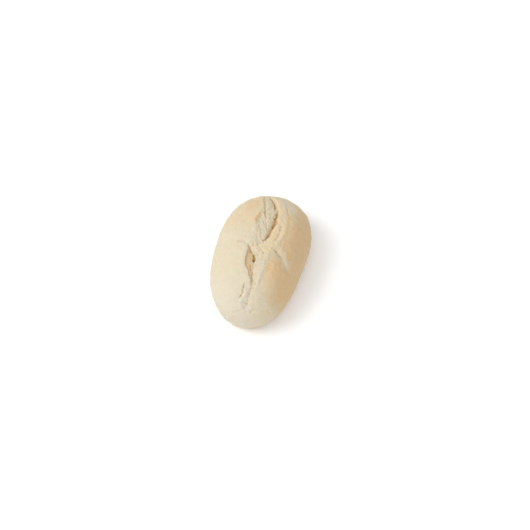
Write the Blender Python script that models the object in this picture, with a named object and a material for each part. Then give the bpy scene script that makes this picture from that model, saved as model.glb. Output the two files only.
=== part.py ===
"""A small French bread roll, part-baked: one solid with a flat base and a torn lengthwise split.

Metres, +Z up. The roll lies along X on the floor plane z = 0, and the origin is under its middle.
+Y is the side of the split whose crust curls up into a lip, -Y the side that swelled and stretched.
"""

import math

import bmesh
import bpy
import numpy as np
from mathutils import Vector, noise

MM = 0.001

# Driving dimensions of the whole roll.
LENGTH = 105 * MM
WIDTH = 67 * MM
HEIGHT = 46.5 * MM

# The plump form, before the oven tears it.
WIDEST_AT = 18 * MM  # height of the widest level
BASE_EDGE = 2.2 * MM  # rounding where the side turns into the flat base
END_FULLNESS = 2.45  # 2 is an ellipse, more is blunter
EGG = 0.11  # the +X end is this share wider than the middle, the -X end narrower
BEND = -2 * MM  # sideways drift of both ends
UNEVENNESS = 0.5 * MM
UNEVENNESS_SCALE = 26 * MM
TOP_FADE = 6  # millimetres above the widest level over which the top's relief starts
BASE_FADE = 8  # millimetres above the base over which the unevenness starts

# Lines that run along the split, as (x, y) knots in millimetres, seen from above.
LEFT_EDGE = [(-50, -4.2), (-44, -3.5), (-39, -3.8), (-36.5, -4), (-34, -3.9), (-31, -2.8), (-28, -0.8),
             (-25, 1.1), (-22, 3.2), (-18.5, 5.2), (-15, 5.9), (-11, 5.7), (-8, 6), (-4, 6.7), (0, 6.1),
             (4, 5.7), (8, 6), (13, 6.4), (17, 7), (21, 6.8), (26, 6.1), (31, 5.8), (35, 6.4),
             (40, 7.6), (45, 9.4), (50, 12)]
VALLEY = [(-50, -5.2), (-44, -5.1), (-38, -5.2), (-34, -5.3), (-31, -5.3), (-27, -4.4), (-24, -3.4),
          (-21, -2.2), (-18.5, -1.6), (-16, -1.8), (-12, -0.7), (-9, 1.8), (-5.5, 4.2), (-2, -0.2),
          (2.5, -3.9), (7.5, -5.8), (13, -6.6), (19, -7.2), (25, -6.6), (31, -5.8), (34, -3.6),
          (38, -1.3), (42.5, 3), (47, 6.5), (50, 9)]
RIGHT_EDGE = [(-50, -6), (-44, -7), (-36, -9), (-30, -10.8), (-22, -12), (-16, -12), (-10, -12),
              (-5, -12.8), (0, -14.3), (6, -16), (12, -16.8), (18, -16.4), (24, -15.3), (31, -13.4),
              (36, -12), (40, -9.8), (44, -6), (49, 0)]

# What the split does along its length, as (x, value) knots in millimetres.
# Opening: the share of their full size that all the split's shapes have.
OPENING = [(-50, 0), (-45, 0.6), (-36, 0.9), (-24, 1), (36, 1), (45, 0.75), (51, 0)]
# Left step: the drop from the left edge to the crumb beside it, over the edge width.
LEFT_STEP = [(-46, 0.2), (-36, 0.3), (-30, 0.6), (-22, 0.9), (-15, 1.2), (-8, 0.9), (-3, 0.4),
             (4, 0.2), (12, 0.4), (19, 0.8), (25, 0.5), (31, 0.3), (46, 0.4)]
EDGE_WIDTH = [(-46, 1.5), (-36, 1.6), (-30, 1.8), (-22, 1.6), (-14, 1.4), (-6, 1.4), (-2, 2.6), (6, 3.6),
              (13, 2.4), (19, 1.4), (25, 2), (31, 2.4), (46, 2)]
# The valley's depth, and the width over which the floor rises from it to the stretched band.
VALLEY_DEPTH = [(-46, 0.3), (-36, 0.8), (-30, 1.6), (-24, 2.1), (-18, 2.1), (-13, 2.1), (-8, 1.1),
                (-3, 0.5), (4, 1.2), (16, 1.8), (28, 1.8), (34, 1.5), (40, 1.5), (46, 1.2)]
RISE_WIDTH = [(-46, 3), (-30, 4.5), (-20, 5.5), (-12, 6.5), (-6, 5), (2, 2.6), (12, 2), (30, 2),
              (40, 3), (46, 4)]
# The stretched band's height, and the width of the crease between it and the crust.
BAND_HEIGHT = [(-46, 0.1), (-30, 0.2), (-20, 0.3), (-8, 0.3), (6, 0.3), (24, 0.4), (36, 0.6), (44, 0.4)]
CREASE_WIDTH = [(-46, 3), (-30, 2.2), (-20, 1.6), (-12, 1.8), (0, 2.6), (10, 2.2), (30, 2.4), (44, 3.5)]
# Left lip: its height, its crown's distance from the left edge, and its half width.
LIP_HEIGHT = [(-50, 0), (-40, 0.1), (-28, 0.2), (-15, 0.25), (-4, 0.15), (8, 0), (19, 0.2), (28, 0.1),
              (36, 0.3), (43, 0.6), (50, 0.1)]
LIP_SETBACK = 1.8
LIP_WIDTH = 2.6
LEFT_HOLLOW = 1.1  # 1 is an even slope from the left step down to the valley, more is hollower
LEAST_SPREAD = 0.5  # the left side is taken to be at least this wide
# The stretched band is smoother than the crumb, from this x towards +X.
BAND_SMOOTHNESS = 0.5
BAND_FROM = -6
BAND_FADE = 8
# Flap: how far the left side is a smooth folded wall instead of torn crumb.
FLAP = [(-34, 0), (-27, 0.8), (-22, 1), (-10, 1), (-5, 0)]

# Torn cracks and creases: path in millimetres, depth, half width.
TEARS = {
    "deep_crevice": ([(33, -5), (30.6, -6.6), (25.6, -6.8), (23.2, -6), (19.4, -7.8), (15.8, -6.6),
                      (13, -6.8), (9, -6.2)], 1.7, 1.5),
    "crevice_end": ([(16, -6.6), (12.5, -6.9), (7.6, -5.8), (3.5, -4.1), (0, -3.2)], 1.2, 1.3),
    "lobe_right": ([(46, 6), (42.4, 3), (37.7, -1.4), (34.4, -2.9), (31.8, -3.5)], 1.3, 1.1),
    "lobe_left": ([(44, 8.6), (40, 7.3), (36, 6), (31.5, 4.4), (27.5, 3), (24, 1.6),
                   (20.5, -0.4)], 0.9, 1.1),
    "nick": ([(26.5, 5.4), (23, 6.2), (19, 6.9), (14, 5.9)], 0.7, 1.0),
    "gash_start": ([(-3.2, 8.4), (-4.7, 6.6), (-6.9, 4.4), (-9, 2.4), (-11.4, 0.8)], 1, 1),
    "middle_gash": ([(-10, 1.5), (-12, -0.2), (-14, -1.2), (-16.6, -1.9)], 2.0, 1.3),
    "flap_fold": ([(-18, 1.4), (-20.6, -0.4), (-24, -2.8), (-28, -4.2), (-31.5, -5),
                   (-34.5, -5.4)], 0.6, 1.3),
    "lower_tear": ([(-31, 0.6), (-34, 0), (-36.8, 0.2), (-39.4, -0.4), (-41.4, 0.3), (-43, 1.4),
                    (-44.6, 0.4)], 0.95, 1.1),
    "lower_cleft": ([(-34.5, -4.8), (-36.5, -5), (-38.3, -5.1), (-40.4, -5.2)], 0.5, 1.2),
    "lower_pit": ([(-39.6, -5.2), (-42, -5.5), (-44.6, -5.2), (-46.8, -4.4)], 0.6, 1.7),
    "lower_nick": ([(-41.8, -7.6), (-40.2, -8.9), (-38.9, -9.9)], 0.35, 0.8),
    "left_flap": ([(-0.5, 15.5), (-2.4, 14), (-1.6, 11.6), (-3.4, 9), (-4.6, 6.8)], 0.6, 1.1),
    "right_crease": ([(41, -7.4), (37.5, -10.3), (34.4, -12.2), (31, -13.1), (27.5, -13.8)], 0.45, 1),
    "band_wrinkle": ([(21, -11.6), (17, -12.2), (13, -12.5), (8, -12.2), (4, -11.5),
                      (1, -10.8)], 0.6, 1.4),
    "right_branch": ([(-1, -10.9), (-2.5, -12.4), (-3, -14.6), (-4.9, -16.6), (-5.3, -19.2),
                      (-7.4, -21)], 0.8, 1.1),
    "end_dash": ([(-41.3, -17), (-40.3, -18.7), (-38.6, -20.5)], 0.4, 1),
    "end_crease": ([(-46.1, -5.6), (-48, -3.6), (-49.6, -1), (-50.6, 2.5), (-51, 6)], 0.3, 0.7),
    "tip_dash": ([(-48.8, -7.5), (-48, -9.9), (-46.3, -12.2)], 0.45, 1),
}
WANDER = 0.45  # how far all these lines stray from their knots and paths
WANDER_SCALE = 3.5
WANDER_SHIFTS = (0, 50)  # one place in the noise for each direction
TEAR_RAG = 0.8  # how much a tear's depth varies along it
TEAR_RAG_SCALE = 2.2
TEAR_RAG_SHIFT = 63
RAG_ON_WIDTH = 0.3  # share of that by which its width varies too
TEAR_ENDS = 0.2  # share of its length over which a tear runs out at each end
TEAR_END_WIDTH = 0.4  # its width there, as a share of its full width

# Torn crumb inside the split, and the crust that swelled beside it.
CRAG_HEIGHT = 0.4
CRAG_SCALE = 2.4
STRAND_HEIGHT = 0.4  # strands of crumb, drawn out along one direction
STRAND_SCALE = 2.2
STRAND_TURN = math.radians(28)  # that direction, from +X towards +Y
STRAND_PULL = 0.3  # their thickness as a share of their length
SWELLINGS = [  # (x, y), height, half length, half width
    ((-19, -17), 1.3, 13, 5.8),
    ((22, -21), 0.6, 14, 6),
    ((-14, 12), 0.5, 14, 7),
    ((-6, -21), -0.4, 3.5, 8),
    ((37.5, 2.6), 0.8, 5.5, 2.6),
]
FOLDS = {  # path, height, half width
    "ridge": ([(0, -9), (-6, -9), (-14, -9.4), (-22, -9.4), (-29, -8.6), (-37, -7)], 0.55, 1.7),
    "right_ridge": ([(33, -12.9), (28.5, -13.9), (24, -14.9), (19, -15.7), (13.5, -15.6), (8.5, -14.8),
                     (4.5, -13.9), (-0.5, -12.9)], 0.35, 0.8),
    "side_groove": ([(-2, -12.5), (-4.6, -17), (-6.6, -20), (-8.8, -22.6), (-11.4, -24.9),
                     (-14.5, -26.8)], -0.8, 2.2),
    "lower_tongue": ([(-35.5, -2.7), (-37.5, -2.5), (-40, -2.2), (-42.5, -1.5), (-44.8, -0.5),
                      (-47, 1.1)], 0.7, 1.2),
    "hook_bowl": ([(-36.5, 1.2), (-39.5, 1.6), (-42.5, 2.4), (-45.5, 2)], -0.5, 2),
    "end_hollow": ([(-44.5, -5.6), (-46.5, -4.7), (-48.5, -3.4)], -0.8, 2.7),
}
FOLD_ENDS = 0.25  # share of its length over which a fold runs out at each end

# The form is worked out on a fine ball and thinned to what a solid can hold.
RINGS = 360
SEGMENTS = 260
CROWDING = 0.78  # how much the segments crowd towards the split, from 0, evenly, to 1
TRIANGLES = 11800

CRUST = (0.78, 0.66, 0.45, 1)  # pale part-baked crust, linear colour
CRUST_ROUGHNESS = 0.8


def eased(t):
    """0 below 0, 1 above 1, and smooth between."""
    t = np.clip(t, 0, 1)
    return t * t * (3 - 2 * t)


def hump(distance, width):
    """1 at no distance, fading over about a width."""
    return np.exp(-((distance / width) ** 2))


def run_out(share, part):
    """1 along a path, easing to 0 over that part of it at each end."""
    return eased(share / part) * eased((1 - share) / part)


def along(x, knots):
    """The value at x of a smooth curve through the knots, which run towards +X."""
    at, value = np.array(knots, float).T
    slope = np.gradient(value, at)
    i = np.clip(np.searchsorted(at, x) - 1, 0, len(at) - 2)
    span = at[i + 1] - at[i]
    t = np.clip((x - at[i]) / span, 0, 1)
    start = (1 + 2 * t) * (1 - t) ** 2 * value[i] + t * (1 - t) ** 2 * span * slope[i]
    end = t * t * (3 - 2 * t) * value[i + 1] + t * t * (t - 1) * span * slope[i + 1]
    return start + end


def distance_to(x, y, path):
    """Each point's distance from a path, and the share of the path passed at its nearest place."""
    path = np.array(path, float)
    lengths = np.linalg.norm(np.diff(path, axis=0), axis=1)
    nearest = np.full(len(x), np.inf)
    share = np.zeros(len(x))
    for (ax, ay), (bx, by), length, before in zip(path, path[1:], lengths, np.cumsum(lengths) - lengths):
        t = np.clip(((x - ax) * (bx - ax) + (y - ay) * (by - ay)) / length**2, 0, 1)
        distance = np.hypot(x - ax - t * (bx - ax), y - ay - t * (by - ay))
        closer = distance < nearest
        nearest = np.where(closer, distance, nearest)
        share = np.where(closer, (before + t * length) / lengths.sum(), share)
    return nearest, share


def rough(points, scale, octaves=1, shift=0):
    """Fractal noise of about -1 to 1 at each point, with bumps of that scale; a shift gives another noise."""
    return np.array([noise.fractal(Vector(p), 1.0, 2.0, octaves) for p in (points + shift) / scale])


def plump_form(station, angle):
    """The dough before it splits: station is -1 to 1 along X, angle is 0 on top and grows towards +Y."""
    swell = (1 - np.abs(station) ** END_FULLNESS) ** (1 / END_FULLNESS)
    x = LENGTH / 2 * station
    y = WIDTH / 2 * swell * np.sin(angle) * (1 + EGG * station) + BEND * station**2
    z = WIDEST_AT + swell * (HEIGHT - WIDEST_AT) * np.cos(angle)
    return np.stack([x, y, settled(z)], axis=1)


def settled(z):
    """Heights after the soft dough settles on the tray: flat below, rounded at the edge of the base."""
    edge = (z + BASE_EDGE) ** 2 / (4 * BASE_EDGE)
    return np.where(z > BASE_EDGE, z, np.where(z > -BASE_EDGE, edge, 0))


def split_relief(x, y):
    """Height of the split over the plump form, and the share of torn crumb, at each point."""
    left, valley, right = (along(x, knots) for knots in (LEFT_EDGE, VALLEY, RIGHT_EDGE))
    opening, depth = along(x, OPENING), along(x, VALLEY_DEPTH)
    inside_left = eased((left - y) / along(x, EDGE_WIDTH))
    inside_right = eased((y - right) / along(x, CREASE_WIDTH))

    step = along(x, LEFT_STEP)
    inward = np.clip((left - y) / np.maximum(left - valley, LEAST_SPREAD), 0, 1)
    left_floor = -(step + (depth - step) * inward**LEFT_HOLLOW) * inside_left
    climb = eased((valley - y) / along(x, RISE_WIDTH))
    right_floor = -depth * (1 - climb) + along(x, BAND_HEIGHT) * climb
    floor = np.where(y > valley, left_floor, right_floor * inside_right)

    lip = along(x, LIP_HEIGHT) * hump(y - left - LIP_SETBACK, LIP_WIDTH) * (1 - inside_left)
    flap = np.clip(along(x, FLAP), 0, 1) * (y > valley)
    smooth_band = BAND_SMOOTHNESS * climb * (y < valley) * eased((x - BAND_FROM) / BAND_FADE)
    torn = inside_left * inside_right * (1 - smooth_band) * (1 - flap)
    return opening * (floor + lip), opening * torn


def tear_relief(mm, x, y):
    """Height of the cracks and creases, all of them below the surface that they cut."""
    height = np.zeros(len(x))
    rag = TEAR_RAG * rough(mm, TEAR_RAG_SCALE, 2, TEAR_RAG_SHIFT)
    for path, depth, half_width in TEARS.values():
        distance, share = distance_to(x, y, path)
        ends = run_out(share, TEAR_ENDS)
        width = half_width * (1 + RAG_ON_WIDTH * rag) * (TEAR_END_WIDTH + (1 - TEAR_END_WIDTH) * ends)
        height = np.minimum(height, -depth * ends * (1 + rag) * eased(1 - distance / width))
    return height


def swelling_relief(x, y):
    """Height of the crust where steam pushed it up, or held it back."""
    height = np.zeros(len(x))
    for (at_x, at_y), rise, half_length, half_width in SWELLINGS:
        height += rise * hump(x - at_x, half_length) * hump(y - at_y, half_width)
    for path, rise, half_width in FOLDS.values():
        distance, share = distance_to(x, y, path)
        height += rise * hump(distance, half_width) * run_out(share, FOLD_ENDS)
    return height


def crumb_relief(mm):
    """Height of torn crumb: crags, and strands drawn out across the tear."""
    cos, sin = math.cos(STRAND_TURN), math.sin(STRAND_TURN)
    turn = np.array([[cos, sin, 0], [-sin, cos, 0], [0, 0, 1]])
    strands = mm @ turn.T * (STRAND_PULL, 1, 1)
    return CRAG_HEIGHT * rough(mm, CRAG_SCALE, 3) + STRAND_HEIGHT * rough(strands, STRAND_SCALE, 2)


def relief(points):
    """How far each point of the plump form moves out along its normal, in metres."""
    mm = points / MM
    on_top = eased((mm[:, 2] - WIDEST_AT / MM) / TOP_FADE)
    x, y = mm[:, :2].T + WANDER * np.stack([rough(mm, WANDER_SCALE, 2, shift) for shift in WANDER_SHIFTS])
    split, torn = split_relief(x, y)
    top = split + tear_relief(mm, x, y) + swelling_relief(mm[:, 0], mm[:, 1]) + torn * crumb_relief(mm)
    uneven = UNEVENNESS * rough(points, UNEVENNESS_SCALE)
    return MM * top * on_top + uneven * eased(mm[:, 2] / BASE_FADE)


def ball():
    """A fine ball as a mesh, with each vertex's station along X and its angle from the top."""
    shape = bmesh.new()
    bmesh.ops.create_uvsphere(shape, u_segments=SEGMENTS, v_segments=RINGS, radius=1)
    mesh = bpy.data.meshes.new("bread_roll")
    shape.to_mesh(mesh)
    shape.free()
    round_y, round_z, station = read(mesh, "co").T
    turn = np.arctan2(round_y, round_z)
    return mesh, np.clip(station, -1, 1), turn - CROWDING * np.sin(turn)


def set_points(mesh, points):
    mesh.vertices.foreach_set("co", points.astype(np.float32).ravel())
    mesh.update()


def read(mesh, what):
    """One row for each vertex, of its place (co) or its direction (normal)."""
    found = np.empty(len(mesh.vertices) * 3)
    mesh.vertices.foreach_get(what, found)
    return found.reshape(-1, 3)


def bread_roll(collection):
    """The whole roll as one object: torn, thinned and brought to its size over its own origin."""
    mesh, station, angle = ball()
    points = plump_form(station, angle)
    set_points(mesh, points)
    points += read(mesh, "normal") * relief(points)[:, None]
    points[:, 2] = np.maximum(points[:, 2], 0)
    set_points(mesh, points)
    fine = bpy.data.objects.new("fine_form", mesh)
    collection.objects.link(fine)
    thin = fine.modifiers.new("thin", "DECIMATE")
    thin.ratio = TRIANGLES / sum(len(face.vertices) - 2 for face in mesh.polygons)
    thin.use_collapse_triangulate = True

    graph = bpy.context.evaluated_depsgraph_get()
    thinned = bpy.data.meshes.new_from_object(fine.evaluated_get(graph))
    bpy.data.objects.remove(fine)
    points = read(thinned, "co")
    low, high = points.min(0), points.max(0)
    whole = np.array([LENGTH, WIDTH, HEIGHT])
    points = (points - low) / (high - low) * whole - whole * [0.5, 0.5, 0]
    set_points(thinned, points)
    thinned.shade_smooth()

    roll = bpy.data.objects.new("bread_roll", thinned)
    roll.data.materials.append(crust_material())
    collection.objects.link(roll)
    return roll


def crust_material():
    material = bpy.data.materials.new("pale_crust")
    material.use_nodes = True
    shader = material.node_tree.nodes["Principled BSDF"]
    shader.inputs["Base Color"].default_value = CRUST
    shader.inputs["Roughness"].default_value = CRUST_ROUGHNESS
    shader.inputs["Metallic"].default_value = 0
    return material


def main():
    for old in list(bpy.data.objects):
        bpy.data.objects.remove(old)
    collection = bpy.data.collections.new("french_bread_roll")
    bpy.context.scene.collection.children.link(collection)
    bread_roll(collection)


main()
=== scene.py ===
# %% [markdown]
# # A part-baked French roll
# The roll is one lump of dough that was cut along its top, left to rise, and baked just until it set.
# Its skin is pale, dry and dusty with flour. The cut tore open in the oven, so rough crumb shows in it.
# The packed solid fixes the place and the size. Here the same form is made again with far more
# points, so that pores, wrinkles and torn edges are real shape, and then it gets its finish.

# %% Load the fixed frame
import math

import bmesh
import bpy
import numpy as np
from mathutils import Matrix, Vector, noise


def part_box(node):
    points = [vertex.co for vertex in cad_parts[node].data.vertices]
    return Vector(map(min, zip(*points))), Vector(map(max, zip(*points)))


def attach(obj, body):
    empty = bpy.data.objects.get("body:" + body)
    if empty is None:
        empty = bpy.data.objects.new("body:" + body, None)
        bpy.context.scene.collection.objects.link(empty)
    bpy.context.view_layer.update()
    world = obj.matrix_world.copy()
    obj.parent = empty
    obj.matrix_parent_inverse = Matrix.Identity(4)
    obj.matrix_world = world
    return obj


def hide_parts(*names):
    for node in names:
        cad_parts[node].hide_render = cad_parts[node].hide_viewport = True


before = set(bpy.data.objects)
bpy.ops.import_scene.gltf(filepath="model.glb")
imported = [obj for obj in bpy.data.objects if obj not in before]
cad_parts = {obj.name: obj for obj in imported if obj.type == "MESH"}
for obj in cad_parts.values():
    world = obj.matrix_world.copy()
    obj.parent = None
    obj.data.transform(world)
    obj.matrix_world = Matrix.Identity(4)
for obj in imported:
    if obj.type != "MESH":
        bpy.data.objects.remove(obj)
solid_low, solid_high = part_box("bread_roll")
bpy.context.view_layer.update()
print("packed roll:", [round(side * 1000, 1) for side in solid_high - solid_low], "mm")

# %% [markdown]
# ## The plump form
# Before it splits, the roll is an egg-shaped cushion: blunt ends, one end broader, a flat base.
# A scaled sphere and a few modifiers come close, but a formula says exactly where each point is,
# and every later step needs to know that. A point is named by its station along the roll, from -1
# to 1, and by its angle round it, counted from the top.

# %% Sizes, from the packed solid
MM = 0.001
LENGTH, WIDTH, HEIGHT = solid_high - solid_low
WIDEST_AT = 18 * MM  # height of the widest level
BASE_EDGE = 2.2 * MM  # rounding where the side turns into the flat base
END_FULLNESS = 2.45  # 2 is an ellipse, more is blunter
EGG = 0.11  # the +X end is this share wider than the middle, the -X end narrower
BEND = -2 * MM  # sideways drift of both ends


# %% The form as a function
def plump_form(station, angle):
    """Points of the unsplit roll, as rows of x, y and z in metres."""
    swell = (1 - np.abs(station) ** END_FULLNESS) ** (1 / END_FULLNESS)
    x = LENGTH / 2 * station
    y = WIDTH / 2 * swell * np.sin(angle) * (1 + EGG * station) + BEND * station**2
    z = WIDEST_AT + swell * (HEIGHT - WIDEST_AT) * np.cos(angle)
    return np.stack([x, y, settled(z)], axis=1)


def settled(z):
    """Heights after the soft dough settles on the tray: flat below, rounded at the edge of the base."""
    edge = (z + BASE_EDGE) ** 2 / (4 * BASE_EDGE)
    return np.where(z > BASE_EDGE, z, np.where(z > -BASE_EDGE, edge, 0))


print("top of the unsplit roll:", plump_form(np.zeros(1), np.zeros(1)).round(4))

# %% [markdown]
# ## A fine ball to shape
# A sculptor would start from a dense sphere and push its points about. A UV sphere lying on its side
# has rings that run across the roll and segments that run along it. The segments are crowded towards
# the top, because that is where the split and all its small shapes are.

# %% The ball
RINGS = 520
SEGMENTS = 184
CROWDING = 0.78  # from 0, evenly spaced segments, to 1


def fine_ball(name):
    """A mesh ball, with each vertex's station along X and its angle from the top."""
    shape = bmesh.new()
    bmesh.ops.create_uvsphere(shape, u_segments=SEGMENTS, v_segments=RINGS, radius=1)
    mesh = bpy.data.meshes.new(name)
    shape.to_mesh(mesh)
    shape.free()
    across, up, station = read(mesh, "co").T
    turn = np.arctan2(across, up)
    return mesh, np.clip(station, -1, 1), turn - CROWDING * np.sin(turn)


def read(mesh, what):
    """One row for each vertex, of its place (co) or its direction (normal)."""
    found = np.empty(len(mesh.vertices) * 3)
    mesh.vertices.foreach_get(what, found)
    return found.reshape(-1, 3)


def place(mesh, points):
    """Moves the vertices to these points."""
    mesh.vertices.foreach_set("co", points.astype(np.float32).ravel())
    mesh.update()


# %% [markdown]
# ## Tools for drawing on the surface
# Everything on the crust is drawn on a plan of the roll in millimetres, as seen from above. A smooth
# step turns a distance into a slope, a curve through a few knots gives a line along the roll, and
# noise keeps every line and surface from being too even.

# %% Steps and humps
def eased(t):
    """0 below 0, 1 above 1, and smooth between."""
    t = np.clip(t, 0, 1)
    return t * t * (3 - 2 * t)


def hump(distance, width):
    """1 at no distance, fading over about a width."""
    return np.exp(-((distance / width) ** 2))


def run_out(share, part):
    """1 along a path, easing to 0 over that part of it at each end."""
    return eased(share / part) * eased((1 - share) / part)


print("a quarter of the way up a step:", eased(0.25), "and one width from a hump:", hump(1, 1).round(2))


# %% Lines
def along(x, knots):
    """The value at x of a smooth curve through the knots, which run towards +X."""
    at, value = np.array(knots, float).T
    slope = np.gradient(value, at)
    i = np.clip(np.searchsorted(at, x) - 1, 0, len(at) - 2)
    span = at[i + 1] - at[i]
    t = np.clip((x - at[i]) / span, 0, 1)
    start = (1 + 2 * t) * (1 - t) ** 2 * value[i] + t * (1 - t) ** 2 * span * slope[i]
    end = t * t * (3 - 2 * t) * value[i + 1] + t * t * (t - 1) * span * slope[i + 1]
    return start + end


def distance_to(x, y, path):
    """Each point's distance from a path, and the share of the path passed at its nearest place."""
    path = np.array(path, float)
    lengths = np.linalg.norm(np.diff(path, axis=0), axis=1)
    nearest = np.full(len(x), np.inf)
    share = np.zeros(len(x))
    for (ax, ay), (bx, by), length, before in zip(path, path[1:], lengths, np.cumsum(lengths) - lengths):
        t = np.clip(((x - ax) * (bx - ax) + (y - ay) * (by - ay)) / length**2, 0, 1)
        distance = np.hypot(x - ax - t * (bx - ax), y - ay - t * (by - ay))
        closer = distance < nearest
        nearest = np.where(closer, distance, nearest)
        share = np.where(closer, (before + t * length) / lengths.sum(), share)
    return nearest, share


off, passed = distance_to(np.array([1.5]), np.array([1.0]), [(0, 0), (2, 0)])
print("a point beside a path is", off[0], "mm off it, with", passed[0], "of the path behind it")


# %% Noise
def rough(points, scale, octaves=1, shift=0):
    """Fractal noise of about -1 to 1 at each point, with bumps of that scale; a shift gives another noise."""
    return np.array([noise.fractal(Vector(p), 1.0, 2.0, octaves) for p in (points + shift) / scale])


def cell_distance(points, scale):
    """Each point's distance from the middle of the nearest of many scattered cells, in cell sizes."""
    return np.array([noise.voronoi(Vector(p))[0][0] for p in points / scale])


row = np.stack([np.arange(40.0), np.zeros(40), np.zeros(40)], axis=1)
print("noise along a row of points, from", rough(row, 3).min().round(2), "to", rough(row, 3).max().round(2))

# %% [markdown]
# ## The split
# Three lines along the roll shape it. The left edge is where the crust ends, in places as a lip. The
# valley is where the two halves pulled apart deepest. The right edge is where a stretched band of
# inner dough meets the swollen crust. A boolean cut would leave sharp, dead edges; a section that
# changes smoothly from knot to knot tears like dough.

# %% Lines of the split, as (x, y) knots in millimetres
LEFT_EDGE = [(-50, -4.2), (-44, -3.5), (-39, -3.8), (-36.5, -4), (-34, -3.9), (-31, -2.8), (-28, -0.8),
             (-25, 1.1), (-22, 3.2), (-18.5, 5.2), (-15, 5.9), (-11, 5.7), (-8, 6), (-4, 6.7), (0, 6.1),
             (4, 5.7), (8, 6), (13, 6.4), (17, 7), (21, 6.8), (26, 6.1), (31, 5.8), (35, 6.4),
             (40, 7.6), (45, 9.4), (50, 12)]
VALLEY = [(-50, -5.2), (-44, -5.1), (-38, -5.2), (-34, -5.3), (-31, -5.3), (-27, -4.4), (-24, -3.4),
          (-21, -2.2), (-18.5, -1.6), (-16, -1.8), (-12, -0.7), (-9, 1.8), (-5.5, 4.2), (-2, -0.2),
          (2.5, -3.9), (7.5, -5.8), (13, -6.6), (19, -7.2), (25, -6.6), (31, -5.8), (34, -3.6),
          (38, -1.3), (42.5, 3), (47, 6.5), (50, 9)]
RIGHT_EDGE = [(-50, -6), (-44, -7), (-36, -9), (-30, -10.8), (-22, -12), (-16, -12), (-10, -12),
              (-5, -12.8), (0, -14.3), (6, -16), (12, -16.8), (18, -16.4), (24, -15.3), (31, -13.4),
              (36, -12), (40, -9.8), (44, -6), (49, 0)]
print("the split is", round(along(12, LEFT_EDGE) - along(12, RIGHT_EDGE), 1), "mm wide at x = 12")

# %% What the split does along its length, as (x, value) knots in millimetres
# Opening: all the split's shapes are taken times this. Its curve swells to 1.25 at x = 13, between knots.
OPENING = [(-50, 0), (-45, 0.6), (-36, 0.9), (-24, 1), (36, 1), (45, 0.75), (51, 0)]
# Left step: the drop from the left edge to the crumb beside it, over the edge width.
LEFT_STEP = [(-46, 0.2), (-36, 0.3), (-30, 0.6), (-22, 0.9), (-15, 1.2), (-8, 0.9), (-3, 0.4),
             (4, 0.2), (12, 0.4), (19, 0.8), (25, 0.5), (31, 0.3), (46, 0.4)]
EDGE_WIDTH = [(-46, 1.5), (-36, 1.6), (-30, 1.8), (-22, 1.6), (-14, 1.4), (-6, 1.4), (-2, 2.6), (6, 3.6),
              (13, 2.4), (19, 1.4), (25, 2), (31, 2.4), (46, 2)]
# The valley's depth, and the width over which the floor rises from it to the stretched band.
VALLEY_DEPTH = [(-46, 0.3), (-36, 0.8), (-30, 1.6), (-24, 2.1), (-18, 2.1), (-13, 2.1), (-8, 1.1),
                (-3, 0.5), (4, 1.2), (16, 1.8), (28, 1.8), (34, 1.5), (40, 1.5), (46, 1.2)]
RISE_WIDTH = [(-46, 3), (-30, 4.5), (-20, 5.5), (-12, 6.5), (-6, 5), (2, 2.6), (12, 2), (30, 2),
              (40, 3), (46, 4)]
# The stretched band's height, and the width of the crease between it and the crust.
BAND_HEIGHT = [(-46, 0.1), (-30, 0.2), (-20, 0.3), (-8, 0.3), (6, 0.3), (24, 0.4), (36, 0.6), (44, 0.4)]
CREASE_WIDTH = [(-46, 3), (-30, 2.2), (-20, 1.6), (-12, 1.8), (0, 2.6), (10, 2.2), (30, 2.4), (44, 3.5)]
# Left lip: its height, its crown's distance from the left edge, and its half width.
LIP_HEIGHT = [(-50, 0), (-40, 0.1), (-28, 0.2), (-15, 0.25), (-4, 0.15), (8, 0), (19, 0.2), (28, 0.1),
              (36, 0.3), (43, 0.6), (50, 0.1)]
LIP_SETBACK = 1.8
LIP_WIDTH = 2.6
# Curl: how far the left edge leans over the split, and how wide a strip of it does.
CURL = [(-34, 0), (-26, 0.4), (-16, 0.5), (-8, 0.3), (-3, 0), (12, 0), (18, 0.4), (24, 0), (50, 0)]
CURL_WIDTH = 1.5
# Flap: how far the left side is a smooth folded wall instead of torn crumb.
FLAP = [(-34, 0), (-27, 0.8), (-22, 1), (-10, 1), (-5, 0)]
LEFT_HOLLOW = 1.1  # 1 is an even slope from the left step down to the valley, more is hollower
LEAST_SPREAD = 0.5  # the left side is taken to be at least this wide
# The stretched band is smoother than the crumb, from this x towards +X.
BAND_SMOOTHNESS = 0.5
BAND_FROM = -6
BAND_FADE = 8


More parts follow.
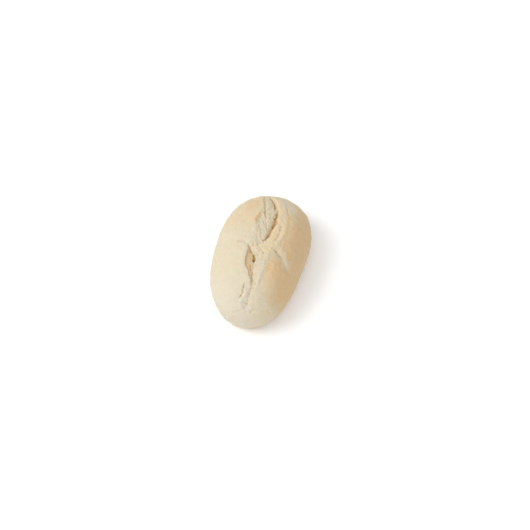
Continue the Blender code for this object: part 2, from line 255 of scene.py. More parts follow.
# %% The section across the split
def split_section(x, y):
    """The split at each point: its height in millimetres, and how much is crumb, flap, band and curl."""
    left, valley, right = (along(x, knots) for knots in (LEFT_EDGE, VALLEY, RIGHT_EDGE))
    opening, depth = along(x, OPENING), along(x, VALLEY_DEPTH)
    inside_left = eased((left - y) / along(x, EDGE_WIDTH))
    inside_right = eased((y - right) / along(x, CREASE_WIDTH))

    step = along(x, LEFT_STEP)
    inward = np.clip((left - y) / np.maximum(left - valley, LEAST_SPREAD), 0, 1)
    left_floor = -(step + (depth - step) * inward**LEFT_HOLLOW) * inside_left
    climb = eased((valley - y) / along(x, RISE_WIDTH))
    right_floor = -depth * (1 - climb) + along(x, BAND_HEIGHT) * climb
    floor = np.where(y > valley, left_floor, right_floor * inside_right)

    lip = along(x, LIP_HEIGHT) * hump(y - left - LIP_SETBACK, LIP_WIDTH) * (1 - inside_left)
    flap = np.clip(along(x, FLAP), 0, 1) * (y > valley) * inside_left
    band = climb * inside_right * (y < valley)
    smooth_band = BAND_SMOOTHNESS * band * eased((x - BAND_FROM) / BAND_FADE)
    return {
        "height": opening * (floor + lip),
        "torn": opening * inside_left * inside_right * (1 - smooth_band) * (1 - flap),
        "flap": opening * flap,
        "band": opening * band,
        "curl": opening * along(x, CURL) * hump(y - left, CURL_WIDTH) * (1 - inside_left),
        "valley": valley,
    }


spot = split_section(np.array([16.0]), np.array([-6.9]))
print("the valley at x = 16 is", -spot["height"].round(1), "mm deep before it tears further")

# %% [markdown]
# ## Tears and creases
# Dry crust cracks where it is pulled. Each crack is a path on the plan, a depth and a half width. It
# wanders a little, is deeper here and shallower there, and runs out at both ends, so it never looks
# drawn with a ruler.

# %% Each tear: its path, depth and half width in millimetres
TEARS = {
    "deep_crevice": ([(33, -5), (30.6, -6.6), (25.6, -6.8), (23.2, -6), (19.4, -7.8), (15.8, -6.6),
                      (13, -6.8), (9, -6.2)], 1.7, 1.5),
    "crevice_end": ([(16, -6.6), (12.5, -6.9), (7.6, -5.8), (3.5, -4.1), (0, -3.2)], 1.2, 1.3),
    "lobe_right": ([(46, 6), (42.4, 3), (37.7, -1.4), (34.4, -2.9), (31.8, -3.5)], 1.3, 1.1),
    "lobe_left": ([(44, 8.6), (40, 7.3), (36, 6), (31.5, 4.4), (27.5, 3), (24, 1.6),
                   (20.5, -0.4)], 0.9, 1.1),
    "nick": ([(26.5, 5.4), (23, 6.2), (19, 6.9), (14, 5.9)], 0.7, 1),
    "gash_start": ([(-3.2, 8.4), (-4.7, 6.6), (-6.9, 4.4), (-9, 2.4), (-11.4, 0.8)], 1, 1),
    "middle_gash": ([(-10, 1.5), (-12, -0.2), (-14, -1.2), (-16.6, -1.9)], 2, 1.3),
    "flap_fold": ([(-18, 1.4), (-20.6, -0.4), (-24, -2.8), (-28, -4.2), (-31.5, -5),
                   (-34.5, -5.4)], 0.6, 1.3),
    "lower_tear": ([(-31, 0.6), (-34, 0), (-36.8, 0.2), (-39.4, -0.4), (-41.4, 0.3), (-43, 1.4),
                    (-44.6, 0.4)], 0.95, 1.1),
    "lower_cleft": ([(-34.5, -4.8), (-36.5, -5), (-38.3, -5.1), (-40.4, -5.2)], 0.5, 1.2),
    "lower_pit": ([(-39.6, -5.2), (-42, -5.5), (-44.6, -5.2), (-46.8, -4.4)], 0.6, 1.7),
    "lower_nick": ([(-41.8, -7.6), (-40.2, -8.9), (-38.9, -9.9)], 0.35, 0.8),
    "left_flap": ([(-0.5, 15.5), (-2.4, 14), (-1.6, 11.6), (-3.4, 9), (-4.6, 6.8)], 0.6, 1.1),
    "right_crease": ([(41, -7.4), (37.5, -10.3), (34.4, -12.2), (31, -13.1), (27.5, -13.8)], 0.45, 1),
    "band_wrinkle": ([(21, -11.6), (17, -12.2), (13, -12.5), (8, -12.2), (4, -11.5),
                      (1, -10.8)], 0.6, 1.4),
    "right_branch": ([(-1, -10.9), (-2.5, -12.4), (-3, -14.6), (-4.9, -16.6), (-5.3, -19.2),
                      (-7.4, -21)], 0.8, 1.1),
    "end_dash": ([(-41.3, -17), (-40.3, -18.7), (-38.6, -20.5)], 0.4, 1),
    "end_crease": ([(-46.1, -5.6), (-48, -3.6), (-49.6, -1), (-50.6, 2.5), (-51, 6)], 0.3, 0.7),
    "tip_dash": ([(-48.8, -7.5), (-48, -9.9), (-46.3, -12.2)], 0.45, 1),
}
print(len(TEARS), "tears, the deepest", max(depth for _, depth, _ in TEARS.values()), "mm deep")

# %% How they run
TEAR_ENDS = 0.2  # share of its length over which a tear runs out at each end
TEAR_END_WIDTH = 0.4  # its width there, as a share of its full width
TEAR_RAG = 0.8  # how much its depth varies along it
TEAR_RAG_SCALE = 2.2
TEAR_RAG_SHIFT = 63
RAG_ON_WIDTH = 0.3  # share of that by which its width varies too


def tear_relief(mm, x, y):
    """Height of the tears in millimetres, all of it below the surface that they cut."""
    height = np.zeros(len(x))
    rag = TEAR_RAG * rough(mm, TEAR_RAG_SCALE, 2, TEAR_RAG_SHIFT)
    for path, depth, half_width in TEARS.values():
        distance, share = distance_to(x, y, path)
        ends = run_out(share, TEAR_ENDS)
        width = half_width * (1 + RAG_ON_WIDTH * rag) * (TEAR_END_WIDTH + (1 - TEAR_END_WIDTH) * ends)
        height = np.minimum(height, -depth * ends * (1 + rag) * eased(1 - distance / width))
    return height


gash = np.array([[-13.0, -0.7, HEIGHT / MM]])
print("the tears alone make the gash", -tear_relief(gash, gash[:, 0], gash[:, 1]).round(1), "mm deep there")

# %% [markdown]
# ## Crust in relief
# Steam pushed the crust up beside the split and left a few folds. Its dry skin is slightly uneven, with
# shallow dimples, a few small blisters, and fine wrinkles. These run along the sides, but round the
# roll at its ends and beside the split. A bump map would be lighter, but it leaves the outline
# perfectly smooth, so these are real shape.

# %% Swellings and folds, in millimetres
SWELLINGS = [  # (x, y), height, half length, half width
    ((-19, -17), 1.3, 13, 5.8),
    ((22, -21), 0.6, 14, 6),
    ((-14, 12), 0.5, 14, 7),
    ((-6, -21), -0.4, 3.5, 8),
    ((37.5, 2.6), 0.8, 5.5, 2.6),
]
FOLDS = {  # path, height, half width
    "ridge": ([(0, -9), (-6, -9), (-14, -9.4), (-22, -9.4), (-29, -8.6), (-37, -7)], 0.55, 1.7),
    "right_ridge": ([(33, -12.9), (28.5, -13.9), (24, -14.9), (19, -15.7), (13.5, -15.6), (8.5, -14.8),
                     (4.5, -13.9), (-0.5, -12.9)], 0.35, 0.8),
    "side_groove": ([(-2, -12.5), (-4.6, -17), (-6.6, -20), (-8.8, -22.6), (-11.4, -24.9),
                     (-14.5, -26.8)], -0.8, 2.2),
    "lower_tongue": ([(-35.5, -2.7), (-37.5, -2.5), (-40, -2.2), (-42.5, -1.5), (-44.8, -0.5),
                      (-47, 1.1)], 0.7, 1.2),
    "hook_bowl": ([(-36.5, 1.2), (-39.5, 1.6), (-42.5, 2.4), (-45.5, 2)], -0.5, 2),
    "end_hollow": ([(-44.5, -5.6), (-46.5, -4.7), (-48.5, -3.4)], -0.8, 2.7),
}
FOLD_ENDS = 0.25  # share of its length over which a fold runs out at each end


def swelling_relief(x, y):
    """Height of the crust where steam pushed it up, or held it back."""
    height = np.zeros(len(x))
    for (at_x, at_y), rise, half_length, half_width in SWELLINGS:
        height += rise * hump(x - at_x, half_length) * hump(y - at_y, half_width)
    for path, rise, half_width in FOLDS.values():
        distance, share = distance_to(x, y, path)
        height += rise * hump(distance, half_width) * run_out(share, FOLD_ENDS)
    return height


swollen = swelling_relief(np.array([-19.0]), np.array([-17.0]))
print("the crust beside the split rises", swollen.round(2), "mm")

# %% The skin, in millimetres
UNEVENNESS = 0.5  # how far the roll strays from its plump form
UNEVENNESS_SCALE = 26
DIMPLE = 0.3
DIMPLE_SCALE = 4.6
WRINKLE = 0.22
WRINKLE_SCALE = 2.6
WRINKLE_THINNESS = 0.28  # a wrinkle's width as a share of its length
WRINKLE_SHIFT = 31
ENDS_FROM = 30  # past this distance from the middle, wrinkles start to turn across the roll
ENDS_FADE = 14
ENDS_DEEPER = 0.5  # how much deeper they are there
BLISTER = 0.12
BLISTER_SCALE = 7.5
BLISTER_REACH = 0.16  # its radius, as a share of that scale


def crust_relief(mm, beside_split):
    """Height of the skin at each point, where wrinkles beside the split and at the ends run across."""
    height = UNEVENNESS * rough(mm, UNEVENNESS_SCALE) + DIMPLE * rough(mm, DIMPLE_SCALE, 2)
    ends = eased((np.abs(mm[:, 0]) - ENDS_FROM) / ENDS_FADE)
    across = np.maximum(ends, beside_split)
    depth = WRINKLE * (1 + ENDS_DEEPER * ends)
    lengthwise = (WRINKLE_THINNESS, 1, 1)
    crosswise = (1, WRINKLE_THINNESS, WRINKLE_THINNESS)
    for pull, share in ((lengthwise, 1 - across), (crosswise, across)):
        height += depth * share * rough(mm * pull, WRINKLE_SCALE, 3, WRINKLE_SHIFT)
    return height + BLISTER * eased(1 - cell_distance(mm, BLISTER_SCALE) / BLISTER_REACH)


print("the skin on that row rises and falls by", np.ptp(crust_relief(row, np.zeros(40))).round(2), "mm")

# %% [markdown]
# ## Crumb in relief
# Torn crumb is another thing than crust: soft crags, strands drawn out across the tear, and open
# pores. One noise makes only gravel. The strands need a second one, on points that are turned and
# squeezed, so that each bump is long in the direction in which the dough was pulled.

# %% Torn crumb, in millimetres
CRAG_HEIGHT = 0.34
CRAG_SCALE = 2
STRAND_HEIGHT = 0.42
STRAND_SCALE = 1.9
STRAND_TURN = math.radians(28)  # direction of the strands, from +X towards +Y
STRAND_PULL = 0.3  # a strand's thickness as a share of its length
PORE_DEPTH = 0.3
PORE_SCALE = 3.4
PORE_REACH = 0.3  # a pore's radius, as a share of that scale
LEAST_SHARE = 0.02  # below this share of crumb nothing is worked out


def crumb_relief(mm, share):
    """Height of torn crumb at full strength, wherever there is any."""
    height = np.zeros(len(mm))
    inside = share > LEAST_SHARE
    here = mm[inside]
    cos, sin = math.cos(STRAND_TURN), math.sin(STRAND_TURN)
    turn = np.array([[cos, sin, 0], [-sin, cos, 0], [0, 0, 1]])
    strands = here @ turn.T * (STRAND_PULL, 1, 1)
    height[inside] = CRAG_HEIGHT * rough(here, CRAG_SCALE, 3)
    height[inside] += STRAND_HEIGHT * rough(strands, STRAND_SCALE, 3)
    height[inside] -= PORE_DEPTH * eased(1 - cell_distance(here, PORE_SCALE) / PORE_REACH)
    return height


print("crumb on that row rises and falls by", np.ptp(crumb_relief(row, np.ones(40))).round(2), "mm")

# %% [markdown]
# ## The roll, put together
# All heights push the points out along the plump form's own directions. Then the left edge is leant
# sideways over the split, which a height alone can't do, and the whole is fitted to the packed
# solid's box, so it can't grow past it.

# %% Where each kind of relief may be, in millimetres
TOP_FADE = 6  # the top's relief starts over this height above the widest level
BASE_FADE = 8  # the skin's relief starts over this height above the base
SPLIT_MIDDLE = -3  # y of the split's middle
RAG_REACH = 22  # half width of the strip round it whose lines are ragged
CROSSWISE_REACH = 15  # half width of the strip round it whose wrinkles run across
WANDER = 0.45  # how far lines stray from their knots and paths
WANDER_SCALE = 3.5
RAG = 0.42  # how far they stray again on a smaller scale
RAG_SCALE = 1.5
WANDER_SHIFTS = (0, 50)
RAG_SHIFTS = (20, 90)


def strayed(mm, on_top):
    """The plan's x and y for each point, after lines stray a little, twice."""
    wander = WANDER * np.stack([rough(mm, WANDER_SCALE, 2, shift) for shift in WANDER_SHIFTS])
    near_split = on_top * hump(mm[:, 1] - SPLIT_MIDDLE, RAG_REACH)
    rag = RAG * near_split * np.stack([rough(mm, RAG_SCALE, 2, shift) for shift in RAG_SHIFTS])
    return mm[:, :2].T + wander + rag


# %% The roll
def shaped_roll(name):
    """The fine roll's mesh, filling the packed solid's box, and what each point of it is made of."""
    mesh, station, angle = fine_ball(name)
    points = plump_form(station, angle)
    place(mesh, points)
    out = read(mesh, "normal")
    mm = points / MM
    on_top = eased((mm[:, 2] - WIDEST_AT / MM) / TOP_FADE)
    x, y = strayed(mm, on_top)

    made = split_section(x, y)
    made["tears"] = tear_relief(mm, x, y)
    made["crumb"] = crumb_relief(mm, made["torn"] * on_top)
    top = made["height"] + made["tears"] + swelling_relief(mm[:, 0], mm[:, 1]) + made["crumb"] * made["torn"]
    skin = 1 - np.clip(made["torn"] + made["flap"], 0, 1) * on_top
    beside_split = on_top * hump(mm[:, 1] - SPLIT_MIDDLE, CROSSWISE_REACH)
    height = top * on_top + crust_relief(mm, beside_split) * skin * eased(mm[:, 2] / BASE_FADE)
    points += out * (MM * height)[:, None]
    points[:, 1] -= MM * made["curl"] * on_top
    points[:, 2] = np.maximum(points[:, 2], 0)

    low, high = points.min(0), points.max(0)
    place(mesh, (points - low) / (high - low) * np.array(solid_high - solid_low) + np.array(solid_low))
    mesh.shade_smooth()
    made.update({"mm": mm, "x": x, "y": y, "on_top": on_top})
    return mesh, made


roll_mesh, made = shaped_roll("french_roll")
roll = bpy.data.objects.new("french_roll", roll_mesh)
bpy.context.scene.collection.objects.link(roll)
triangles = sum(len(face.vertices) - 2 for face in roll_mesh.polygons)
print("roll:", triangles, "triangles,", [round(side * 1000, 1) for side in roll.dimensions], "mm")

# %% [markdown]
# ## Where the oven coloured it, and where shade is painted
# The finish needs to know which part of the surface is which. Every point carries a few numbers, 0 for
# none and 1 for all, or a little more where the split is widest: how much it is torn crumb, how deep it
# lies in a crack, how far the oven toasted it, how golden its edges are and how much flour lies on it. Low
# crumb, the flap's wall, the cracks and a few golden edges get painted shade from these numbers. A painter
# would use vertex colours in the same way.

# %% Golden edges: the places that stood out towards the heat, and painted shade where edges turn down
GOLDEN = [  # (x, y), strength, half length and half width in millimetres
    # the nick: golden, and painted shade on its slope, which turns down and away from the light
    ((20, 6.8), 1, 6, 1.5),
    ((30, 13), 0.3, 13, 7),
    ((-17, -12.9), 0.9, 7.5, 2.6),
    ((-18, -15.5), 0.35, 11, 6),
    # the flap's edge: painted shade, golden brown, where the crust turns down into the flap
    ((-16, 4), 0.45, 7, 2.2),
    ((3, -17.5), 0.35, 8, 4.5),
]
GOLDEN_REACH = 1.7  # gold fades to nothing at so many half widths
GOLDEN_CREASE = [(32, -13.2), (28, -14.3), (24, -15.3), (19, -16.1), (13.5, -16), (8, -15.2)]
CREASE_GOLD = 0.9
CREASE_GOLD_WIDTH = 1.2


def golden_share(x, y):
    distance, share = distance_to(x, y, GOLDEN_CREASE)
    gold = CREASE_GOLD * hump(distance, CREASE_GOLD_WIDTH) * run_out(share, FOLD_ENDS)
    for (at_x, at_y), strength, half_length, half_width in GOLDEN:
        reach = np.hypot((x - at_x) / half_length, (y - at_y) / half_width)
        gold = np.maximum(gold, strength * eased((GOLDEN_REACH - reach) / GOLDEN_REACH))
    return gold


print(len(GOLDEN), "golden patches and a golden crease")

# %% Toast: the tan right side, the low rim, and fainter patches at the upper left and the far end
SIDE_FROM = 6  # the tan starts so many millimetres to the right of the middle
SIDE_FADE = 20
SIDE_UNEVENNESS = 0.12  # how far its borders stray, as a share of their fade
SIDE_SCALE = 9
SIDE_SHIFT = 12
PALE_TIP = -54  # x of the narrow end, which stays pale
PALE_TIP_FADE = 30
BROAD_END = 22  # past this x the tan is a little paler
BROAD_END_FADE = 15
BROAD_END_PALER = 0.2
PALE_GROOVE = [(-1.5, -14), (-3.2, -18.6), (-5.8, -21.2), (-8.2, -23.4), (-11, -25.2), (-14, -27)]
GROOVE_WIDTH = 3.5
GROOVE_END = 0.45  # share of its length over which the pale streak fades out
GROOVE_WANDER = 0.9
GROOVE_SCALE = 5
GROOVE_SHIFT = 40
UPPER_LEFT = (-4, 4)  # x and y from which the upper left is tan
UPPER_LEFT_FADE = (26, 8)
UPPER_LEFT_STRENGTH = 0.42
LOW_AT = 16  # below this height the rim is tan
LOW_FADE = 14
LOW_STRENGTH = 0.55
FAR_END = 34  # past this x the far end is tan
FAR_END_FADE = 16
FAR_END_STRENGTH = 0.35


def low_share(mm):
    """1 at the base, 0 from the middle of the side upwards."""
    return eased((LOW_AT - mm[:, 2]) / LOW_FADE)


def toasted_share(mm, x, y):
    uneven = SIDE_UNEVENNESS * rough(mm, SIDE_SCALE, 2, SIDE_SHIFT)
    side = eased((-mm[:, 1] - SIDE_FROM) / SIDE_FADE + uneven)
    side *= eased((mm[:, 0] - PALE_TIP) / PALE_TIP_FADE + uneven)
    side *= 1 - BROAD_END_PALER * eased((mm[:, 0] - BROAD_END) / BROAD_END_FADE)
    distance, share = distance_to(x, y, PALE_GROOVE)
    distance += GROOVE_WANDER * rough(mm, GROOVE_SCALE, 2, GROOVE_SHIFT)
    side *= 1 - hump(distance, GROOVE_WIDTH) * eased((1 - share) / GROOVE_END)
    upper_left = [eased((mm[:, i] - UPPER_LEFT[i]) / UPPER_LEFT_FADE[i]) for i in (0, 1)]
    upper_left = UPPER_LEFT_STRENGTH * upper_left[0] * upper_left[1]
    far_end = FAR_END_STRENGTH * eased((mm[:, 0] - FAR_END) / FAR_END_FADE)
    return np.max([side, upper_left, far_end, LOW_STRENGTH * low_share(mm)], axis=0)


# %% Flour: on the narrow end, and in the pocket beside the flap
FLOUR_FROM = (-8, -22)  # flour lies below this x and above this y
FLOUR_FADE = (40, 20)
FLOUR_OFF_LOW = 0.75  # share of it that has come off the low rim
POCKET_FROM = -6  # the pocket is floury below this x
POCKET_FADE = 6
POCKET_FLOUR = 0.9


def floury_share(made):
    mm, x, y = made["mm"], made["x"], made["y"]
    towards_tip = eased((FLOUR_FROM[0] - mm[:, 0]) / FLOUR_FADE[0])
    towards_left = eased((mm[:, 1] - FLOUR_FROM[1]) / FLOUR_FADE[1])
    flour = towards_tip * towards_left * (1 - FLOUR_OFF_LOW * low_share(mm))
    pocket = np.clip(made["torn"] + made["band"], 0, 1) * (y < made["valley"]) * made["on_top"]
    return np.maximum(flour, POCKET_FLOUR * pocket * eased((POCKET_FROM - x) / POCKET_FADE))


# %% Painted shade in cracks and hollows
CRACK_DEPTH = 1.1  # a tear this deep gets the full painted brown shade
CRACK_START = 0.15  # the shallowest share of it stays pale
VALLEY_GLOW = 0.5  # how much painted brown shade the deep valley gets beside its tears
VALLEY_GLOW_WIDTH = 1.8
VALLEY_GLOW_AT = 0.4  # its distance from the valley line
VALLEY_GLOW_FROM = 3  # it starts at this x, towards +X
VALLEY_GLOW_FADE = 8
HOLLOW_LEVEL = 0.35  # how much painted shade crumb gets at its mean height
HOLLOW_RANGE = 0.9
BAND_COLOUR_FROM = -12  # the band has a colour of its own from this x towards +X
BAND_COLOUR_FADE = 8


# painted shade: brown in deep tears and beside the valley line
def crack_shade_share(made):
    cracks = eased(-made["tears"] / CRACK_DEPTH - CRACK_START)
    glow = VALLEY_GLOW * hump(made["y"] - made["valley"] - VALLEY_GLOW_AT, VALLEY_GLOW_WIDTH)
    glow *= made["torn"] * eased((made["x"] - VALLEY_GLOW_FROM) / VALLEY_GLOW_FADE)
    return np.maximum(cracks, glow)


def finish_masks(made):
    """The numbers that the finish reads, by name, one for each point."""
    mm, x, y, on_top = (made[key] for key in ("mm", "x", "y", "on_top"))
    return {
        "torn": made["torn"] * on_top,
        # painted shade: highest where the crumb's relief lies lowest
        "hollow": eased(HOLLOW_LEVEL - made["crumb"] / HOLLOW_RANGE),
        # where the flap's wall gets painted shade
        "flap": made["flap"] * on_top,
        "band": made["band"] * eased((x - BAND_COLOUR_FROM) / BAND_COLOUR_FADE) * on_top,
        "crack": crack_shade_share(made) * on_top,
        "gold": golden_share(x, y) * on_top,
        "toast": toasted_share(mm, x, y),
        "flour": floury_share(made),
    }


for mask, values in finish_masks(made).items():
    roll_mesh.attributes.new(mask, "FLOAT", "POINT").data.foreach_set("value", values.astype(np.float32))
    print(mask, "from", values.min().round(2), "to", values.max().round(2))

# %% [markdown]
# ## A bench for shaders
# A procedural finish is a sum of masks and noises. Wiring each Math node by hand hides the sum, so one
# small class lets a node's output stand in a Python expression, and one method adds any other node.


# %% Sums of sockets
class Wire:
    """An output of a shader node that takes part in Python sums."""

    def __init__(self, bench, socket):
        self.bench = bench
        self.socket = socket

    def math(self, operation, *values):
        return self.bench.node("ShaderNodeMath", {"operation": operation}, dict(enumerate(values)))

    def __add__(self, other):
        return self.math("ADD", self, other)

    def __sub__(self, other):
        return self.math("SUBTRACT", self, other)

    def __mul__(self, other):
        return self.math("MULTIPLY", self, other)

    def __rsub__(self, other):
        return self.math("SUBTRACT", other, self)

    __radd__ = __add__
    __rmul__ = __mul__


# %% The bench
class Bench:
    """A material's node tree, with one way to add any node."""

    def __init__(self, name):
        self.material = bpy.data.materials.new(name)
        self.material.use_nodes = True
        self.nodes = self.material.node_tree.nodes
        self.links = self.material.node_tree.links
        self.shader = self.nodes["Principled BSDF"]

    def node(self, kind, settings=None, inputs=None, output=0):
        """A new node, its settings made first, then its sockets fed; its output as a Wire."""
        added = self.nodes.new(kind)
        for name, value in (settings or {}).items():
            setattr(added, name, value)
        for name, value in (inputs or {}).items():
            self.feed(added.inputs[name], value)
        return Wire(self, added.outputs[output])

    def feed(self, socket, value):
        if isinstance(value, Wire):
            self.links.new(value.socket, socket)
        else:
            socket.default_value = value

    def set(self, **values):
        """Sets or links the shader's own sockets, named with _ for a space."""
        for name, value in values.items():
            self.feed(self.shader.inputs[name.replace("_", " ")], value)

    def mask(self, name):
        return self.node("ShaderNodeAttribute", {"attribute_name": name}, output="Fac")

    def mix(self, share, first, second):
        return self.node("ShaderNodeMix", {"data_type": "RGBA"}, {0: share, 6: first, 7: second}, output=2)

    def patches(self, size, detail=2, roughness=0.5):
        """Noise from about -0.5 to 0.5 with patches of that size in metres, in the roll's own space."""
        inputs = {
            "Vector": self.node("ShaderNodeTexCoord", output="Object"),
            "Scale": 1 / size,
            "Detail": detail,
            "Roughness": roughness,
        }
        return self.node("ShaderNodeTexNoise", inputs=inputs) - 0.5

    def spots(self, size, reach):
        """Soft round spots, 1 in their middles, one to a cell of that size in metres."""
        inputs = {"Vector": self.node("ShaderNodeTexCoord", output="Object"), "Scale": 1 / size}
        return self.ease(self.node("ShaderNodeTexVoronoi", inputs=inputs), reach, 0)

    def ease(self, value, start=0, end=1):
        """0 at the start, 1 at the end, and smooth between."""
        inputs = {"Value": value, "From Min": start, "From Max": end}
        return self.node("ShaderNodeMapRange", {"interpolation_type": "SMOOTHSTEP"}, inputs)

    def bump(self, height, distance):
        return self.node("ShaderNodeBump", inputs={"Height": height, "Distance": distance})


print("a bench can", [name for name in vars(Bench) if not name.startswith("_")])

# %% [markdown]
# ## The finish of bread
# Part-baked crust is pale and matt. It is cream where flour lies on it and tan where the oven reached it,
# in soft blotches. Crumb is a little greyer and rougher. Cracks and the deep valley are painted honey brown
# inside, as painted shade and painted bounce light between their walls, and the crumb's hollows and the
# flap's wall get painted shade too. A photograph projected on the mesh would fix one view only; masks and
# noise look right from every side. A little subsurface light keeps it from looking like plaster.

# %% Colours, as linear values
PALE = (0.61, 0.535, 0.39, 1)
TAN = (0.60, 0.43, 0.245, 1)
# painted shade, tan, for the flap's folded wall
FLAP_SHADE = (0.55, 0.415, 0.25, 1)
GOLD = (0.65, 0.43, 0.195, 1)
FLOUR = (0.60, 0.54, 0.425, 1)
BAND = (0.67, 0.55, 0.365, 1)
CRUMB = (0.62, 0.54, 0.40, 1)
# the crumb's painted shade, for its hollows and pits
CRUMB_SHADE = (0.55, 0.455, 0.305, 1)
# painted shade and bounce light, honey brown, for cracks and the deep valley
CRACK_SHADE = (0.54, 0.34, 0.14, 1)
print("crust from", PALE[:3], "to", TAN[:3])


# %% Crust: pale, then toasted in blotches, then golden, then floury
TOAST_REACH = 0.9  # how near to tan the most toasted crust comes by itself
BLOTCH_ON_TOAST = 0.6
MOTTLE_ON_TOAST = 0.5
LEATHER_ON_TOAST = 0.4
LEAST_TOAST = 0.04  # added everywhere
GOLD_STRENGTH = 0.9
MOTTLE_ON_GOLD = 0.6
DUST_SIZE = 2.2 * MM
DUST_PATCHINESS = 1.5
LEAST_DUST = 0.05  # added everywhere
DUST_SHOWS_FROM = 0.1
FLOUR_STRENGTH = 0.9


def crust_colour(bench, blotch, mottle, leather):
    toasted = TOAST_REACH * bench.mask("toast") + BLOTCH_ON_TOAST * blotch
    toasted = toasted + MOTTLE_ON_TOAST * mottle + LEATHER_ON_TOAST * leather + LEAST_TOAST
    colour = bench.mix(bench.ease(toasted), PALE, TAN)
    gold = bench.mask("gold") * (GOLD_STRENGTH + MOTTLE_ON_GOLD * mottle)
    colour = bench.mix(gold, colour, GOLD)
    dust = bench.patches(DUST_SIZE, detail=5, roughness=0.75)
    floury = FLOUR_STRENGTH * bench.mask("flour") + DUST_PATCHINESS * dust + LEAST_DUST
    return bench.mix(bench.ease(floury, DUST_SHOWS_FROM), colour, FLOUR)


# %% Crumb: painted shade, darker in its hollows and tiny pits
HOLLOW_SHADE = 0.75
GRAIN_ON_CRUMB = 0.4
MOTTLE_ON_CRUMB = 0.4
CRUMB_LIGHTER = 0.05  # taken off the shade everywhere


def crumb_colour(bench, mottle, grain, pits):
    # painted shade where the crumb lies low and in its pits; grain and mottle add uneven tone
    shade = HOLLOW_SHADE * bench.mask("hollow") + pits
    shade = shade + GRAIN_ON_CRUMB * grain + MOTTLE_ON_CRUMB * mottle - CRUMB_LIGHTER
    return bench.mix(bench.ease(shade), CRUMB, CRUMB_SHADE)


# %% Bread: sizes of its texture, and how much each of them lifts the surface
BLOTCH_SIZE = 18 * MM
MOTTLE_SIZE = 4 * MM
LEATHER_SIZE = 1.6 * MM
GRAIN_SIZE = 0.6 * MM
DIMPLE_SIZE = 4.6 * MM
DIMPLE_REACH = 0.25  # a dimple's radius, as a share of its cell
PIT_SIZE = 1.3 * MM
PIT_REACH = 0.35
PIT_STRENGTH = 0.25
# the flap's and the cracks' tints are painted shade; the band's is its own colour
TINTS = (("band", 0.8, BAND), ("flap", 0.85, FLAP_SHADE), ("crack", 0.85, CRACK_SHADE))  # mask, strength, colour
GRAIN_LIFT = 0.22
GRAIN_LIFT_IN_CRUMB = 0.4
LEATHER_LIFT = 0.6
MOTTLE_LIFT = 1.0
PIT_DROP = 1.2
DIMPLE_DROP = 0.35
BUMP_HEIGHT = 0.45 * MM
BREAD_ROUGHNESS = 0.84
GRAIN_ON_ROUGHNESS = 0.12
LIGHT_REACH = 2 * MM  # how far light gets inside bread


def bread():
    bench = Bench("pale_bread")
    blotch = bench.patches(BLOTCH_SIZE, detail=3)
    mottle = bench.patches(MOTTLE_SIZE, detail=3, roughness=0.6)
    leather = bench.patches(LEATHER_SIZE, detail=3, roughness=0.55)
    grain = bench.patches(GRAIN_SIZE, roughness=0.6)
    dimples = bench.spots(DIMPLE_SIZE, DIMPLE_REACH)
    pits = PIT_STRENGTH * bench.spots(PIT_SIZE, PIT_REACH)
    torn = bench.mask("torn")

    crust = crust_colour(bench, blotch, mottle, leather)
    colour = bench.mix(torn, crust, crumb_colour(bench, mottle, grain, pits))
    for mask, strength, tint in TINTS:
        colour = bench.mix(strength * bench.mask(mask), colour, tint)

    height = grain * (GRAIN_LIFT + GRAIN_LIFT_IN_CRUMB * torn) + LEATHER_LIFT * leather
    height = height + MOTTLE_LIFT * mottle - PIT_DROP * pits * torn - DIMPLE_DROP * dimples
    bench.set(
        Base_Color=colour,
        Roughness=BREAD_ROUGHNESS + GRAIN_ON_ROUGHNESS * grain,
        Normal=bench.bump(height, BUMP_HEIGHT),
        Specular_IOR_Level=0.3,
        Subsurface_Weight=0.35,
        Subsurface_Radius=(1.0, 0.6, 0.3),
        Subsurface_Scale=LIGHT_REACH,
    )
    print("bread:", len(bench.nodes), "nodes")
    return bench.material


roll_mesh.materials.append(bread())
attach(roll, "root")
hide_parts("bread_roll")

# %% [markdown]
# ## Studio
# The roll lies on a plain white floor under a white sky, with a big soft lamp on its left and a weaker one
# behind the camera. One small hard lamp would show every crumb but black out the far side, and a sky alone
# would flatten the split. Here the sky fills the shadows, the lamp on the left gives the split its relief,
# and the one behind the camera makes the top brighter than the rims.

# %% Floor
FLOOR_SIDE = 8
FLOOR_GAP = 0.1 * MM
WHITE = (0.95, 0.95, 0.95, 1)
bpy.ops.mesh.primitive_plane_add(size=FLOOR_SIDE, location=(0, 0, -FLOOR_GAP))
floor = bpy.context.object
floor.name = "floor"
paper = Bench("white_floor")
paper.set(Base_Color=WHITE, Roughness=0.95, Specular_IOR_Level=0.1)
floor.data.materials.append(paper.material)
print("floor:", FLOOR_SIDE, "m square")

# %% [markdown]
# ## Camera
# The camera looks down at the roll from 60 degrees above the floor, with its far, broad end away from it
# and turned a little to the right. The distance and the lens are set so that the roll keeps its size and
# place in the picture.

# %% Camera
CAMERA_AZIMUTH = math.radians(-72.8)
CAMERA_ELEVATION = math.radians(60)
CAMERA_DISTANCE = 0.95
TARGET_HEIGHT = 20 * MM
FOCAL_PIXELS = 1311  # the focal length, in pixels of the picture
PICTURE_SIDE = 530
ROLL_AT = (258.4, 259.2)  # where the target shows in the picture
SENSOR = 36  # millimetres

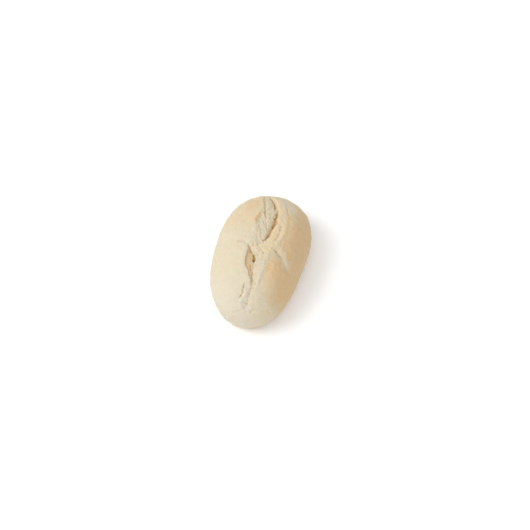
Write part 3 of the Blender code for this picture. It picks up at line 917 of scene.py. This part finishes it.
back = Vector((
    math.sin(CAMERA_AZIMUTH) * math.cos(CAMERA_ELEVATION),
    -math.cos(CAMERA_AZIMUTH) * math.cos(CAMERA_ELEVATION),
    math.sin(CAMERA_ELEVATION),
))
right = Vector((math.cos(CAMERA_AZIMUTH), math.sin(CAMERA_AZIMUTH), 0))
up = back.cross(right)
metres_per_pixel = CAMERA_DISTANCE / FOCAL_PIXELS
target = Vector((0, 0, TARGET_HEIGHT))
aim_at = target + right * (PICTURE_SIDE / 2 - ROLL_AT[0]) * metres_per_pixel
aim_at -= up * (PICTURE_SIDE / 2 - ROLL_AT[1]) * metres_per_pixel
lens = bpy.data.cameras.new("camera")
lens.sensor_width = SENSOR
lens.lens = FOCAL_PIXELS / PICTURE_SIDE * SENSOR
camera = bpy.data.objects.new("camera", lens)
camera.location = target + back * CAMERA_DISTANCE
camera.rotation_mode = "QUATERNION"
camera.rotation_quaternion = (aim_at - camera.location).to_track_quat("-Z", "Y")
bpy.context.scene.collection.objects.link(camera)
bpy.context.scene.camera = camera
bpy.context.scene.view_settings.view_transform = "Standard"
print("lens", round(lens.lens, 1), "mm at", CAMERA_DISTANCE, "m")

# %% Sky
SKY_STRENGTH = 0.72
world = bpy.data.worlds.new("studio")
world.use_nodes = True
sky = world.node_tree.nodes["Background"]
sky.inputs["Color"].default_value = (1, 1, 1, 1)
sky.inputs["Strength"].default_value = SKY_STRENGTH
bpy.context.scene.world = world
print("sky strength", SKY_STRENGTH)


# %% Lamps
LAMP_SIDE = 1.6
KEY_AT = -1.72 * right + 0.85 * up + 1.8 * back
FILL_AT = 2.6 * back


def softbox(name, place_at, watts):
    """A square soft lamp that looks at the roll."""
    light = bpy.data.lights.new(name, "AREA")
    light.size = LAMP_SIDE
    light.energy = watts
    lamp = bpy.data.objects.new(name, light)
    lamp.location = place_at
    lamp.rotation_euler = (target - place_at).to_track_quat("-Z", "Y").to_euler()
    bpy.context.scene.collection.objects.link(lamp)
    print(name, "lamp:", watts, "W at", [round(part, 2) for part in place_at], "m")


softbox("key", KEY_AT, watts=36)
softbox("fill", FILL_AT, watts=15)
